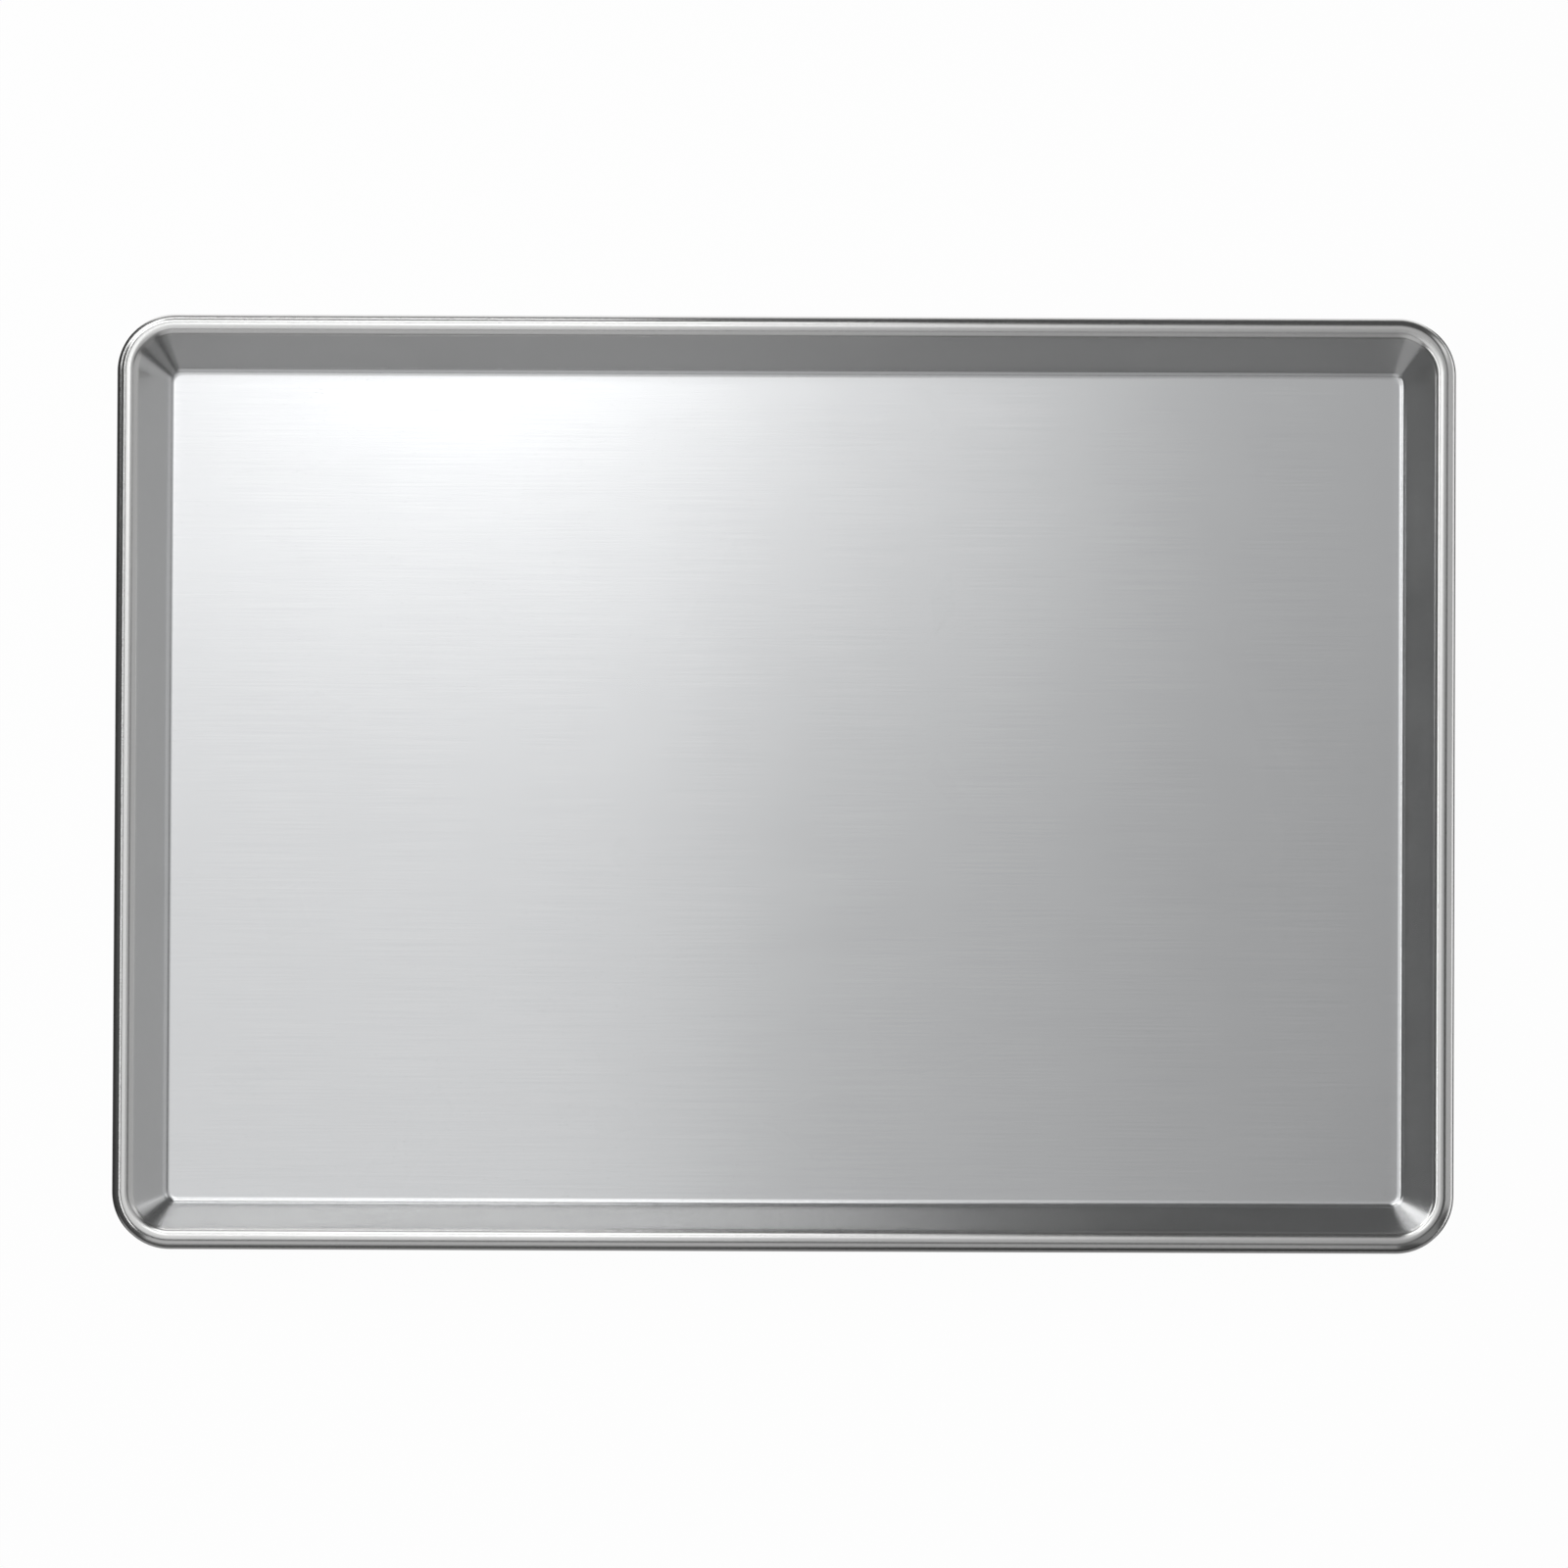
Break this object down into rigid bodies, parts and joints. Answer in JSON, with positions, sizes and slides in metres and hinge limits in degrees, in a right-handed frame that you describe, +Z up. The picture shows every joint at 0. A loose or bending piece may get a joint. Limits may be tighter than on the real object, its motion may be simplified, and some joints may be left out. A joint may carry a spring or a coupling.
{
  "type": "sheet pan",
  "caption": "Rectangular aluminium sheet pan: flat floor, flared walls, drawn corners and a rim rolled over a steel wire.",
  "frame": {"origin": "centre of the underside of the floor, on the surface the pan stands on", "axes": "+X along the long side, +Y along the short side towards the side where the rim wire's ends meet, +Z up out of the open side"},
  "size_m": [0.654, 0.459, 0.0254],
  "materials": {
    "pan_shell": "satin mill finish with a fine grain along the length",
    "rim_wire": "dull galvanised wire"
  },
  "bodies": {
    "root": {"pan_shell": "pan_shell", "rim_wire": "rim_wire"}
  },
  "joints": []
}
